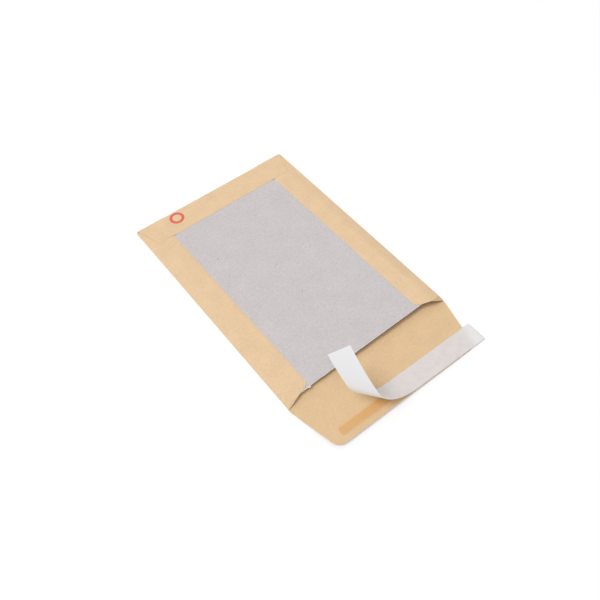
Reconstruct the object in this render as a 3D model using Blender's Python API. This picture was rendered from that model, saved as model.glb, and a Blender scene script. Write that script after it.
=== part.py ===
"""A board-backed envelope, open and lying on its address face with the board upwards.

One kraft sheet makes the whole cover: the face panel lies on the table, two side flaps and a bottom
flap are creased over a grey board and gummed down round its border, and the closing flap lies open
in front of the mouth. The closing flap carries a strip of adhesive, whose release liner has been
peeled back part of the way and curls up.

Metres. X runs across the envelope, Y from the mouth (minus) to the bottom fold (plus), Z up. The
origin is on the table, under the middle of the face panel.
"""
import math

import bmesh
import bpy
from mathutils import Vector

# The cover, cut from kraft paper.
BODY_WIDTH = 0.162
BODY_LENGTH = 0.229
PAPER = 0.00015
FOLD_RADIUS = 0.00085
SIDE_FLAP = 0.0247
SIDE_END_SLANT = 0.0082
SIDE_END_CORNER = 0.006
SIDE_BACK_SLANT = 0.004
BOTTOM_FLAP = 0.025
BOTTOM_TAPER = 0.0095
BOTTOM_CORNER = 0.0015
CLOSING_FLAP = 0.0466
CLOSING_TAPER_LEFT = 0.00995
CLOSING_TAPER_RIGHT = 0.01205
CLOSING_CORNER = 0.0085
CORNER_NOTCH = 0.0001
MOUTH_NOTCH = 0.0004

# The grey board, and how far its two mouth corners stand off the face panel.
BOARD_THICKNESS = 0.00095
BOARD_SIDE_CLEARANCE = 0.0040
BOARD_BACK_CLEARANCE = 0.0015
BOARD_SETBACK = 0.0060
MOUTH_CUT_SLOPE = 0.01
LIFT_LEFT = 0.0019
LIFT_RIGHT = 0.0050
TOOTH_PITCH = 0.0016
TOOTH_DEPTH = 0.0004
TUFT_AT = -0.0568
TUFT_WIDTH = 0.0024
TUFT_REACH = 0.0011
CUT_STEP = 0.0004

# How the side folds open towards the mouth, measured inwards from the side of the envelope.
MOUTH_CREASE_BULGE = 0.0010
MOUTH_SHOULDER = 0.0032
MOUTH_BEND_END = 0.0040
CORNER_RISE = 0.0003
DROOP_LENGTH = 0.0042

# Gaps that keep neighbouring layers apart, and the films of gum in the seams.
SEAT_GAP = 0.0003
SEAM_GAP = 0.0003
GUM_THICKNESS = 0.0001
GUM_INSET = 0.0025
SIDE_GUM_WIDTH = 0.015
BOTTOM_GUM_WIDTH = 0.018
BOTTOM_GUM_END = 0.016
STEP_LENGTH = 0.005

# The adhesive on the closing flap and the release liner over it.
ADHESIVE_WIDTH = 0.008
ADHESIVE_FROM_EDGE = 0.005
ADHESIVE_END_INSET = 0.0182
ADHESIVE_END_RADIUS = 0.0035
ADHESIVE_THICKNESS = 0.0001
FILM_GAP = 0.0001
LINER_WIDTH = 0.0191
LINER_LENGTH = 0.1605
LINER_THICKNESS = 0.00008
LINER_OVERHANG = 0.0010
LINER_END_FROM_SIDE = 0.0006

# The curl of the peeled liner: where and how askew it leaves the flap, then three arcs, each a
# radius and the length of strip that takes it. The last arc runs on to the free end.
CURL_START = 0.0039
CURL_SKEW = math.radians(36.5)
CURL_ARCS = ((0.0284, 0.0282), (0.0129, 0.0113), (0.0861, 0.0600))

# Facets.
FOLD_STEPS = 8
LIFT_CELLS_ALONG = 10
LIFT_CELLS_ACROSS = 8
STEP_CELLS = 4
CURL_STEPS = (8, 8, 10)
CORNER_STEPS = 6

HALF_WIDTH = BODY_WIDTH / 2
HALF_LENGTH = BODY_LENGTH / 2
SIDE_CREASE = HALF_WIDTH - FOLD_RADIUS
BOTTOM_CREASE = HALF_LENGTH - FOLD_RADIUS
BOARD_HALF = HALF_WIDTH - BOARD_SIDE_CLEARANCE
BOARD_BACK = HALF_LENGTH - BOARD_BACK_CLEARANCE
BOARD_MOUTH = BOARD_SETBACK - HALF_LENGTH
BOARD_LENGTH = BOARD_BACK - BOARD_MOUTH
BOARD_UNDERSIDE = PAPER + SEAT_GAP
BOARD_TOP = BOARD_UNDERSIDE + BOARD_THICKNESS
SHEET_LEVEL = PAPER / 2
SIDE_FLAP_LEVEL = BOARD_TOP + SEAM_GAP + PAPER / 2
FLAP_STEP = PAPER + SEAM_GAP
SIDE_FLAP_EDGE = HALF_WIDTH - SIDE_FLAP
FLAP_FRONT = -HALF_LENGTH - CLOSING_FLAP
DROOP_START = DROOP_LENGTH - HALF_LENGTH


def blend(start, end, share):
    """Value between start and end, without overshoot."""
    return start + (end - start) * min(max(share, 0.0), 1.0)


def ease(share):
    """Smooth step from 0 to 1."""
    share = min(max(share, 0.0), 1.0)
    return share * share * (3 - 2 * share)


def bezier(points, share):
    """Point on the cubic curve through four two-dimensional control points."""
    rest = 1 - share
    weights = (rest ** 3, 3 * rest ** 2 * share, 3 * rest * share ** 2, share ** 3)
    return [sum(w * p[axis] for w, p in zip(weights, points)) for axis in (0, 1)]


def mouth_share(y):
    """0 at the board's back edge, 1 at its mouth edge."""
    return max((BOARD_BACK - y) / BOARD_LENGTH, 0.0)


def board_lift(x, y):
    """How far the board stands off its seat: it rises towards the mouth, more on the right."""
    middle = (LIFT_LEFT + LIFT_RIGHT) / 2
    roll = (LIFT_RIGHT - LIFT_LEFT) / 2 * x / BOARD_HALF
    return mouth_share(y) * (middle + roll)


def side_flap_level(x, y):
    """Height of a side flap's middle: on the board, and down to the crease corner in front of it."""
    level = SIDE_FLAP_LEVEL + board_lift(x, y)
    return blend(level, SHEET_LEVEL + CORNER_RISE, (DROOP_START - y) / DROOP_LENGTH)


def side_bend_end(y):
    """Distance from the centre line at which the side fold has turned flat on to the board."""
    return HALF_WIDTH - blend(FOLD_RADIUS, MOUTH_BEND_END, mouth_share(y))


def side_fold_edge(y):
    """The same place on the flat blank, where a flap is mirrored about its crease."""
    return BODY_WIDTH - side_bend_end(y)


def side_fold(share, side, y):
    """Point of a side fold: a tight half round at the bottom fold, an open wall at the mouth."""
    opening = mouth_share(y)
    end = side_bend_end(y)
    top = side_flap_level(side * end, y)
    crease = HALF_WIDTH + blend(FOLD_RADIUS / 3, MOUTH_CREASE_BULGE, opening)
    shoulder = HALF_WIDTH - blend(-FOLD_RADIUS / 3, MOUTH_SHOULDER, opening)
    curve = ((SIDE_CREASE, SHEET_LEVEL), (crease, SHEET_LEVEL), (shoulder, top), (end, top))
    x, z = bezier(curve, share)
    return Vector((side * x, y, z))


def bottom_flap_level(x, y):
    """Height of the bottom flap's middle: on the board, and one step up on the side flaps."""
    step_end = SIDE_FLAP_EDGE - SEAM_GAP
    step = FLAP_STEP * ease((abs(x) - step_end + STEP_LENGTH) / STEP_LENGTH)
    return SIDE_FLAP_LEVEL + step + board_lift(x, y)


def bottom_fold(share, x):
    """Point of the bottom fold, a half round from the face panel up to the bottom flap."""
    top = bottom_flap_level(x, HALF_LENGTH)
    bulge = HALF_LENGTH + FOLD_RADIUS / 3
    curve = ((BOTTOM_CREASE, SHEET_LEVEL), (bulge, SHEET_LEVEL), (bulge, top), (BOTTOM_CREASE, top))
    y, z = bezier(curve, share)
    return Vector((x, y, z))


def fold_cover(u, v):
    """Take a point of the flat blank to its place on the folded cover."""
    side = math.copysign(1.0, u)
    if v > BOTTOM_CREASE:
        share = (v - BOTTOM_CREASE) / (2 * FOLD_RADIUS)
        if share < 1:
            return bottom_fold(share, u)
        y = BODY_LENGTH - v
        return Vector((u, y, bottom_flap_level(u, y)))
    if abs(u) > SIDE_CREASE and v > -HALF_LENGTH:
        share = (abs(u) - SIDE_CREASE) / (side_fold_edge(v) - SIDE_CREASE)
        if share < 1:
            return side_fold(share, side, v)
        x = side * (BODY_WIDTH - abs(u))
        return Vector((x, v, side_flap_level(x, v)))
    return Vector((u, v, SHEET_LEVEL))


def rounded_outline(corners):
    """Outline through the corners, each (x, y, radius), with its corners turned as arcs."""
    points = []
    count = len(corners)
    for i, (x, y, radius) in enumerate(corners):
        corner = Vector((x, y))
        if radius == 0:
            points.append(corner)
            continue
        before = (Vector(corners[i - 1][:2]) - corner).normalized()
        after = (Vector(corners[(i + 1) % count][:2]) - corner).normalized()
        half_angle = before.angle(after) / 2
        centre = corner + (before + after).normalized() * radius / math.sin(half_angle)
        start = corner + before * radius / math.tan(half_angle) - centre
        end = corner + after * radius / math.tan(half_angle) - centre
        turn = math.atan2(start.x * end.y - start.y * end.x, start.dot(end))
        for step in range(CORNER_STEPS + 1):
            angle = turn * step / CORNER_STEPS
            cos, sin = math.cos(angle), math.sin(angle)
            arm = Vector((start.x * cos - start.y * sin, start.x * sin + start.y * cos))
            points.append(centre + arm)
    return points


def score(bm, point, direction, where=None):
    """Cut the flat blank along a line, so that it can bend there."""
    faces = [f for f in bm.faces if where is None or where(f.calc_center_median())]
    geometry = faces + list({v for f in faces for v in f.verts}) + list({e for f in faces for e in f.edges})
    normal = Vector((-direction[1], direction[0], 0))
    bmesh.ops.bisect_plane(bm, geom=geometry, plane_co=(*point, 0), plane_no=normal, dist=1e-7)


def flat_blank(outline):
    """One face with the given outline, looking up."""
    bm = bmesh.new()
    face = bm.faces.new([bm.verts.new((x, y, 0)) for x, y in outline])
    face.normal_update()
    if face.normal.z < 0:
        face.normal_flip()
    return bm


def sheet_object(name, bm, place, thickness, material):
    """Move every point of the scored blank to its folded place, and give the sheet its thickness."""
    bmesh.ops.triangulate(bm, faces=bm.faces[:])
    for vert in bm.verts:
        vert.co = place(vert.co.x, vert.co.y)
    mesh = bpy.data.meshes.new(name)
    bm.to_mesh(mesh)
    bm.free()
    mesh.shade_smooth()
    mesh.set_sharp_from_angle(angle=math.radians(40))
    obj = bpy.data.objects.new(name, mesh)
    bpy.context.scene.collection.objects.link(obj)
    solidify = obj.modifiers.new("thickness", "SOLIDIFY")
    solidify.thickness = thickness
    solidify.offset = 0
    obj.data.materials.append(material)
    return obj


def score_lift_cells(bm):
    """Lines across and along the board's area, so that layers with the same twist share facets."""
    for k in range(LIFT_CELLS_ALONG + 1):
        y = BOARD_BACK - BOARD_LENGTH * k / LIFT_CELLS_ALONG
        score(bm, (0, y), (1, 0))
    for k in range(LIFT_CELLS_ACROSS + 1):
        x = BOARD_HALF * (2 * k / LIFT_CELLS_ACROSS - 1)
        score(bm, (x, 0), (0, 1))


def score_step(bm, mirror_line=None):
    """Lines where the bottom flap steps up from the board on to the side flaps."""
    step_end = SIDE_FLAP_EDGE - SEAM_GAP
    for side in (-1, 1):
        for k in range(STEP_CELLS + 1):
            x = side * (step_end - STEP_LENGTH * k / STEP_CELLS)
            where = None if mirror_line is None else (lambda c: c.y > mirror_line)
            score(bm, (x, 0), (0, 1), where)


def cover_outline():
    """The flat blank: face panel, two side flaps, bottom flap and closing flap."""
    crease_x = SIDE_CREASE - CORNER_NOTCH
    crease_y = BOTTOM_CREASE - CORNER_NOTCH
    flap_x = BODY_WIDTH - SIDE_FLAP_EDGE
    side_mouth = (flap_x, SIDE_END_SLANT - HALF_LENGTH, SIDE_END_CORNER)
    side_back = (flap_x, crease_y - SIDE_BACK_SLANT, 0)
    bottom = (HALF_WIDTH - BOTTOM_TAPER, HALF_LENGTH + BOTTOM_FLAP, BOTTOM_CORNER)
    closing_y = -HALF_LENGTH - MOUTH_NOTCH
    corners = [
        (crease_x, -HALF_LENGTH, 0), side_mouth, side_back, (crease_x, crease_y, 0), bottom,
        (-bottom[0], bottom[1], bottom[2]), (-crease_x, crease_y, 0), (-side_back[0], side_back[1], 0),
        (-side_mouth[0], side_mouth[1], side_mouth[2]), (-crease_x, -HALF_LENGTH, 0),
        (-HALF_WIDTH, closing_y, 0), (CLOSING_TAPER_LEFT - HALF_WIDTH, FLAP_FRONT, CLOSING_CORNER),
        (HALF_WIDTH - CLOSING_TAPER_RIGHT, FLAP_FRONT, CLOSING_CORNER), (HALF_WIDTH, closing_y, 0),
    ]
    return rounded_outline(corners)


def envelope_sheet(material):
    """The kraft cover, folded from one blank."""
    bm = flat_blank(cover_outline())
    score(bm, (0, -HALF_LENGTH), (1, 0))
    for step in range(FOLD_STEPS + 1):
        share = step / FOLD_STEPS
        score(bm, (0, BOTTOM_CREASE + 2 * FOLD_RADIUS * share), (1, 0))
        back = blend(SIDE_CREASE, side_fold_edge(BOARD_BACK), share)
        front = blend(SIDE_CREASE, side_fold_edge(BOARD_MOUTH), share)
        for side in (-1, 1):
            direction = (side * (front - back), BOARD_MOUTH - BOARD_BACK)
            score(bm, (side * back, BOARD_BACK), direction, lambda c: c.y < BOTTOM_CREASE)
    for k in range(LIFT_CELLS_ALONG + 1):
        y = BOARD_BACK - BOARD_LENGTH * k / LIFT_CELLS_ALONG
        score(bm, (0, y), (1, 0), lambda c: abs(c.x) > SIDE_CREASE and c.y < BOTTOM_CREASE)
        score(bm, (0, BODY_LENGTH - y), (1, 0), lambda c: c.y > HALF_LENGTH)
    for k in range(LIFT_CELLS_ACROSS + 1):
        x = BOARD_HALF * (2 * k / LIFT_CELLS_ACROSS - 1)
        score(bm, (x, 0), (0, 1), lambda c: c.y > BOTTOM_CREASE)
        outer = BODY_WIDTH - abs(x)
        score(bm, (math.copysign(outer, x), 0), (0, 1), lambda c: abs(c.x) > side_fold_edge(c.y))
    score_step(bm, BOTTOM_CREASE)
    score(bm, (0, DROOP_START), (1, 0), lambda c: abs(c.x) > SIDE_CREASE)
    return sheet_object("envelope_sheet", bm, fold_cover, PAPER, material)


def pinked_edge():
    """Mouth edge of the board, from left to right: fine teeth, cut a little askew, and a torn tuft."""
    teeth = round(2 * BOARD_HALF / TOOTH_PITCH)
    points = []
    for k in range(2 * teeth + 1):
        x = k * BOARD_HALF / teeth - BOARD_HALF
        y = BOARD_MOUTH + MOUTH_CUT_SLOPE * x
        if abs(x - TUFT_AT) < TUFT_WIDTH / 2:
            y -= TUFT_REACH
        elif x < TUFT_AT:
            y -= CUT_STEP
        points.append((x, y + TOOTH_DEPTH * (k % 2)))
    return points


def back_board(material):
    """The grey board that stiffens the back and shows between the gummed flaps."""
    bm = flat_blank(pinked_edge() + [(BOARD_HALF, BOARD_BACK), (-BOARD_HALF, BOARD_BACK)])
    score_lift_cells(bm)
    middle = (BOARD_UNDERSIDE + BOARD_TOP) / 2

    def place(x, y):
        return Vector((x, y, middle + board_lift(x, y)))
    return sheet_object("back_board", bm, place, BOARD_THICKNESS, material)


def side_seam_gum(name, side, material):
    """The film of gum between the board and one side flap."""
    inner = SIDE_FLAP_EDGE + GUM_INSET
    outer = inner + SIDE_GUM_WIDTH
    front = SIDE_END_SLANT - HALF_LENGTH + SIDE_END_CORNER
    back = BOTTOM_CREASE - SIDE_BACK_SLANT - GUM_INSET
    outline = [(side * inner, front), (side * outer, front), (side * outer, back), (side * inner, back)]
    bm = flat_blank(outline)
    score_lift_cells(bm)
    middle = BOARD_TOP + SEAM_GAP / 2

    def place(x, y):
        return Vector((x, y, middle + board_lift(x, y)))
    return sheet_object(name, bm, place, GUM_THICKNESS, material)


def bottom_seam_gum(material):
    """The film of gum under the bottom flap, which steps from the board on to the side flaps."""
    front = HALF_LENGTH - BOTTOM_FLAP + GUM_INSET
    back = front + BOTTOM_GUM_WIDTH
    end = HALF_WIDTH - BOTTOM_GUM_END
    bm = flat_blank([(-end, front), (end, front), (end, back), (-end, back)])
    score_lift_cells(bm)
    score_step(bm)
    drop = (PAPER + SEAM_GAP) / 2

    def place(x, y):
        return Vector((x, y, bottom_flap_level(x, y) - drop))
    return sheet_object("bottom_seam_gum", bm, place, GUM_THICKNESS, material)


def adhesive_strip(material):
    """The strip of pressure adhesive along the closing flap."""
    front = FLAP_FRONT + ADHESIVE_FROM_EDGE
    back = front + ADHESIVE_WIDTH
    end = HALF_WIDTH - ADHESIVE_END_INSET
    radius = ADHESIVE_END_RADIUS
    corners = [(-end, front, radius), (end, front, radius), (end, back, radius), (-end, back, radius)]
    middle = PAPER + FILM_GAP + ADHESIVE_THICKNESS / 2

    def place(x, y):
        return Vector((x, y, middle))
    bm = flat_blank(rounded_outline(corners))
    return sheet_object("adhesive_strip", bm, place, ADHESIVE_THICKNESS, material)


def curl_profile(distance):
    """Offset and height of the liner at a distance along its curl."""
    offset, height, angle = 0.0, 0.0, 0.0
    left = distance
    for radius, length in CURL_ARCS:
        turn = min(left, length) / radius
        offset += radius * (math.sin(angle + turn) - math.sin(angle))
        height += radius * (math.cos(angle) - math.cos(angle + turn))
        angle += turn
        left -= length
        if left <= 0:
            break
    return offset, height


def release_liner(material):
    """The silicone paper: flat over the adhesive on the right, peeled and curling up on the left."""
    right = HALF_WIDTH - LINER_END_FROM_SIDE
    left = right - LINER_LENGTH
    front = FLAP_FRONT - LINER_OVERHANG
    back = front + LINER_WIDTH
    level = PAPER + 2 * FILM_GAP + ADHESIVE_THICKNESS + LINER_THICKNESS / 2
    start = Vector((CURL_START, (front + back) / 2))
    along = Vector((-math.sin(CURL_SKEW), math.cos(CURL_SKEW)))
    across = Vector((-math.cos(CURL_SKEW), -math.sin(CURL_SKEW)))
    bm = flat_blank([(left, front), (right, front), (right, back), (left, back)])
    reached = 0.0
    for (radius, length), steps in zip(CURL_ARCS, CURL_STEPS):
        for step in range(steps):
            point = start + across * (reached + length * step / steps)
            score(bm, point, along)
        reached += length

    def place(x, y):
        arm = Vector((x, y)) - start
        distance = arm.dot(across)
        if distance <= 0:
            return Vector((x, y, level))
        offset, height = curl_profile(distance)
        foot = start + along * arm.dot(along) + across * offset
        return Vector((foot.x, foot.y, level + height))
    return sheet_object("release_liner", bm, place, LINER_THICKNESS, material)


def linear(channel):
    """Display value of a colour channel, 0 to 255, as a linear share."""
    share = channel / 255
    return share / 12.92 if share <= 0.04045 else ((share + 0.055) / 1.055) ** 2.4


def finish(name, colour, roughness):
    """A plain dielectric finish."""
    material = bpy.data.materials.new(name)
    material.use_nodes = True
    shader = material.node_tree.nodes["Principled BSDF"]
    shader.inputs["Base Color"].default_value = [linear(c) for c in colour] + [1.0]
    shader.inputs["Roughness"].default_value = roughness
    shader.inputs["Metallic"].default_value = 0.0
    return material


def build():
    """Build every piece of the envelope."""
    for obj in list(bpy.data.objects):
        bpy.data.objects.remove(obj)
    gum = finish("seam_gum", (226, 205, 165), 0.5)
    envelope_sheet(finish("kraft_paper", (229, 198, 158), 0.75))
    back_board(finish("grey_board", (204, 198, 197), 0.9))
    side_seam_gum("left_seam_gum", -1, gum)
    side_seam_gum("right_seam_gum", 1, gum)
    bottom_seam_gum(gum)
    adhesive_strip(finish("adhesive", (223, 176, 115), 0.25))
    release_liner(finish("liner_paper", (233, 231, 232), 0.55))


build()
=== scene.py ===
# %% [markdown]
# # A board-backed envelope, open and lying on its face
# The envelope is one folded kraft sheet round a grey board. The closing flap lies open in front of the
# mouth, and the release liner on its adhesive is peeled halfway and curls up.
#
# The packed model gives every piece its place and size, in metres. Here each piece is made again with
# finer folds and edges, and gets the finish of the real material.

import math
import random

import bmesh
import bpy
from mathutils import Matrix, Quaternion, Vector


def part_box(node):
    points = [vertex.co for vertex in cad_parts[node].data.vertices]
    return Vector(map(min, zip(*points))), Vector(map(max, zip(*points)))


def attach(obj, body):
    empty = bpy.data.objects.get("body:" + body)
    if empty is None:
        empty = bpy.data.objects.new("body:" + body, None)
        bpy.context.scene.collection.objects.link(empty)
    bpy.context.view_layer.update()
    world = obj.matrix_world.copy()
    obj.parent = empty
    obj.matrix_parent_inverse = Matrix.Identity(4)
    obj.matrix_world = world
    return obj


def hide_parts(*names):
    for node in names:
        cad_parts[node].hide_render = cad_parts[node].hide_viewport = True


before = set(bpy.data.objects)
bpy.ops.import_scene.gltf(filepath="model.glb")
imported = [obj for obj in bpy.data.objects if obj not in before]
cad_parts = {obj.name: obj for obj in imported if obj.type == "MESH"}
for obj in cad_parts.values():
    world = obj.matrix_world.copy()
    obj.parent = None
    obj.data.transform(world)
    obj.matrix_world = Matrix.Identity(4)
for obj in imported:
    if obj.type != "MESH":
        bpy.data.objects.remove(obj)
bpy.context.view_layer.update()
print("Pieces in the frame:", ", ".join(sorted(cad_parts)))

# %% [markdown]
# ## The camera
# The camera stands in front of the left mouth corner and looks down at the envelope. Its place comes
# first, because it decides how large each detail shows. It also rolls a little about its line of sight,
# as a camera does that is held by hand.

# %% Place the camera
CAMERA_PLACE = Vector((-0.21374, -0.32597, 0.48682))
CAMERA_AIM = Vector((-0.01112, -0.03767, 0.0))
CAMERA_ROLL = math.radians(-3.223)
CAMERA_LENS = 42.971

camera_data = bpy.data.cameras.new("camera")
camera_data.lens = CAMERA_LENS
camera_data.sensor_width = 36
camera_data.clip_start = 0.01
camera = bpy.data.objects.new("camera", camera_data)
camera.location = CAMERA_PLACE
camera.rotation_mode = "QUATERNION"
line_of_sight = (CAMERA_AIM - CAMERA_PLACE).normalized()
roll = Quaternion((0, 0, 1), CAMERA_ROLL)
camera.rotation_quaternion = line_of_sight.to_track_quat("-Z", "Y") @ roll
bpy.context.scene.collection.objects.link(camera)
bpy.context.scene.camera = camera
print("Camera stands", round((CAMERA_AIM - CAMERA_PLACE).length, 3), "m from the envelope")

# %% [markdown]
# ## Shader maths in plain Python
# A paper finish is many small patterns added up. Node by node that is long and hard to read, so one small
# class wraps a socket: `2 * fibres + 0.1` then adds the Math nodes by itself.


# %% Wrap sockets
class Wire:
    """An output socket that can be used in sums."""

    def __init__(self, finish, socket):
        self.finish = finish
        self.socket = socket

    def maths(self, operation, *values):
        return self.finish.node("ShaderNodeMath", {"operation": operation}, dict(enumerate(values)))

    def __add__(self, other):
        return self.maths("ADD", self, other)

    def __radd__(self, other):
        return self.maths("ADD", other, self)

    def __sub__(self, other):
        return self.maths("SUBTRACT", self, other)

    def __rsub__(self, other):
        return self.maths("SUBTRACT", other, self)

    def __mul__(self, other):
        return self.maths("MULTIPLY", self, other)

    def __rmul__(self, other):
        return self.maths("MULTIPLY", other, self)


print("Wires can be added, subtracted and multiplied")

# %% [markdown]
# ## A material with short commands
# The next class is a material. One method adds any node, and those after it name what paper needs: its
# flat place, noise, smooth steps, mixed and shaded colours, and relief.


# %% Wrap materials
class Finish:
    """A material whose pattern is built from expressions."""

    def __init__(self, name, roughness, specular=0.5):
        self.material = bpy.data.materials.new(name)
        self.material.use_nodes = True
        self.tree = self.material.node_tree
        self.shader = self.tree.nodes["Principled BSDF"]
        self.shader.inputs["Roughness"].default_value = roughness
        self.shader.inputs["Specular IOR Level"].default_value = specular

    def node(self, kind, settings=None, values=None, output=0):
        """Add a node: its settings first, then the values or wires of its sockets."""
        node = self.tree.nodes.new(kind)
        for name, value in (settings or {}).items():
            setattr(node, name, value)
        for name, value in (values or {}).items():
            self.feed(node.inputs[name], value)
        return Wire(self, node.outputs[output])

    def feed(self, socket, value):
        """Link a wire to a socket, or set the socket's own value."""
        if isinstance(value, Wire):
            self.tree.links.new(value.socket, socket)
        else:
            socket.default_value = value

    def place(self, layer):
        """Where a point was on the flat sheet, in metres."""
        return self.node("ShaderNodeUVMap", {"uv_map": layer})

    def turned(self, at, angle=0.0, stretch=(1.0, 1.0, 1.0), shift=(0.0, 0.0, 0.0)):
        """Turn a pattern about Z and squeeze it along its own axes."""
        values = {"Vector": at, "Rotation": (0, 0, angle), "Location": shift}
        turn = self.node("ShaderNodeMapping", None, values)
        return self.node("ShaderNodeMapping", None, {"Vector": turn, "Scale": stretch})

    def part(self, at, axis):
        """One coordinate of a place, or one channel of a colour, counted from 0."""
        return self.node("ShaderNodeSeparateXYZ", None, {"Vector": at}, output=axis)

    def seen_from(self, at, point):
        """A place measured from a point of the flat sheet."""
        return self.node("ShaderNodeVectorMath", {"operation": "SUBTRACT"}, {0: at, 1: (*point, 0.0)})

    def unsigned(self, value):
        """A number without its sign."""
        return self.node("ShaderNodeMath", {"operation": "ABSOLUTE"}, {0: value})

    def noise(self, at, size, detail=2.0, roughness=0.5):
        """Cloudy pattern from 0 to 1 whose patches have the given size in metres."""
        values = {"Vector": at, "Scale": 1 / size, "Detail": detail, "Roughness": roughness}
        return self.node("ShaderNodeTexNoise", None, values)

    def step(self, value, low, high, to_low=0.0, to_high=1.0):
        """Smooth step as the value goes from low to high."""
        settings = {"interpolation_type": "SMOOTHSTEP"}
        values = {"Value": value, "From Min": low, "From Max": high, "To Min": to_low, "To Max": to_high}
        return self.node("ShaderNodeMapRange", settings, values)

    def mix(self, share, first, second):
        """Go from the first colour to the second."""
        return self.node("ShaderNodeMix", {"data_type": "RGBA"}, {0: share, 6: first, 7: second}, output=2)

    def shade(self, colour, factor):
        """Make a colour lighter or darker by a factor near 1."""
        settings = {"data_type": "RGBA", "blend_type": "MULTIPLY"}
        grey = self.node("ShaderNodeCombineXYZ", None, {0: factor, 1: factor, 2: factor})
        return self.node("ShaderNodeMix", settings, {0: 1.0, 6: colour, 7: grey}, output=2)

    def bump(self, height, depth, under=None):
        """Turn a height from 0 to 1 into relief of the given depth in metres, over other relief."""
        values = {"Height": height, "Distance": depth}
        if under is not None:
            values["Normal"] = under
        return self.node("ShaderNodeBump", None, values)

    def wear(self, **sockets):
        """Feed the shader's sockets, named with underscores for spaces."""
        for name, value in sockets.items():
            self.feed(self.shader.inputs[name.replace("_", " ")], value)
        return self.material


print("Commands of a finish:", ", ".join(name for name in vars(Finish) if not name.startswith("_")))

# %% [markdown]
# ## Colours
# Colours are written as a screen shows them, from 0 to 255. This turns them into the shares of light that
# Blender computes with.


# %% Turn screen colours into light
def paint(red, green, blue):
    """A colour given as display values from 0 to 255."""
    channels = []
    for channel in (red, green, blue):
        share = channel / 255
        channels.append(share / 12.92 if share <= 0.04045 else ((share + 0.055) / 1.055) ** 2.4)
    return (*channels, 1.0)


print("Kraft as light:", [round(share, 3) for share in paint(232, 201, 162)[:3]])

# %% [markdown]
# ## A white studio
# The envelope lies on a white floor. Most of its light comes from the white surroundings. A large, soft
# lamp stands high on the left and a little behind the envelope: it shapes the curl of the liner and draws
# the dark line under the board's mouth edge. Lamp and surroundings together light a level sheet of paper
# so that its colour shows about as it is written. The floor's white comes from a little glow that only the
# camera and reflections see, and the envelope's shadow stays on it.


# %% Make the floor, the surroundings and the lamp
FLOOR_SIZE = 3.0
FLOOR_COLOUR = 0.80
FLOOR_GLOW = 0.235
SURROUNDINGS = 0.66
LAMP_SHARE = 0.34
LAMP_SIZE = 3.0
LAMP_PLACE = Vector((-3.0, 0.9, 6.3))


def seen_directly(tree):
    """1 for what the camera, a reflection or a clear material shows, 0 for light on the scene."""
    path = tree.nodes.new("ShaderNodeLightPath")
    total = path.outputs["Is Camera Ray"]
    for name in ("Is Glossy Ray", "Is Transmission Ray"):
        larger = tree.nodes.new("ShaderNodeMath")
        larger.operation = "MAXIMUM"
        tree.links.new(total, larger.inputs[0])
        tree.links.new(path.outputs[name], larger.inputs[1])
        total = larger.outputs[0]
    return total


def white_floor():
    """A level white sheet under the envelope."""
    bm = bmesh.new()
    bmesh.ops.create_grid(bm, x_segments=1, y_segments=1, size=FLOOR_SIZE)
    mesh = bpy.data.meshes.new("floor")
    bm.to_mesh(mesh)
    bm.free()
    floor = bpy.data.objects.new("floor", mesh)
    bpy.context.scene.collection.objects.link(floor)
    paper = Finish("floor_white", 1.0, 0.0)
    paper.shader.inputs["Base Color"].default_value = (FLOOR_COLOUR,) * 3 + (1.0,)
    paper.shader.inputs["Emission Color"].default_value = (1.0, 1.0, 1.0, 1.0)
    glow = Wire(paper, seen_directly(paper.tree)) * FLOOR_GLOW
    paper.wear(Emission_Strength=glow)
    mesh.materials.append(paper.material)
    return floor


def white_surroundings():
    """Even light from all sides, and plain white where it is seen."""
    world = bpy.data.worlds.new("studio")
    world.use_nodes = True
    background = world.node_tree.nodes["Background"]
    background.inputs["Color"].default_value = (1.0, 1.0, 1.0, 1.0)
    strength = world.node_tree.nodes.new("ShaderNodeMapRange")
    strength.inputs["To Min"].default_value = SURROUNDINGS
    strength.inputs["To Max"].default_value = 1.0
    world.node_tree.links.new(seen_directly(world.node_tree), strength.inputs["Value"])
    world.node_tree.links.new(strength.outputs[0], background.inputs["Strength"])
    bpy.context.scene.world = world


def soft_lamp():
    """One large square lamp, as bright as its share of the light on a level sheet asks."""
    distance = LAMP_PLACE.length
    slant = LAMP_PLACE.normalized().z
    data = bpy.data.lights.new("lamp", "AREA")
    data.shape = "SQUARE"
    data.size = LAMP_SIZE
    data.energy = LAMP_SHARE * math.pi ** 2 * distance ** 2 / slant
    lamp = bpy.data.objects.new("lamp", data)
    lamp.location = LAMP_PLACE
    lamp.rotation_mode = "QUATERNION"
    lamp.rotation_quaternion = (-LAMP_PLACE).to_track_quat("-Z", "Y")
    bpy.context.scene.collection.objects.link(lamp)
    return data.energy


bpy.context.scene.view_settings.view_transform = "Standard"
white_floor()
white_surroundings()
print("Lamp power:", round(soft_lamp(), 1), "W")

# %% [markdown]
# ## Kraft paper
# Brown kraft is long wood fibres, pressed flat. From near, short fibres lie in all directions and most of
# them along the sheet. From further away the sheet looks cloudy, because the fibres clump. Here and there
# is a speck of bark. The outside of an envelope is a little paler than its inside, and a cut edge shows
# the pale inner fibres.
#
# The pattern follows the flat sheet, and not the space round it, so that it runs round the folds as real
# paper does. Every sheet here carries a map called "flat", which is its place before it was folded.

# %% Make the kraft finishes
FIBRE_TURNS = (0.08, 0.9, -0.75)
KRAFT_CLOUD = 0.16
KRAFT_THREAD = 0.12
BARK = paint(150, 108, 72)


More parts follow.
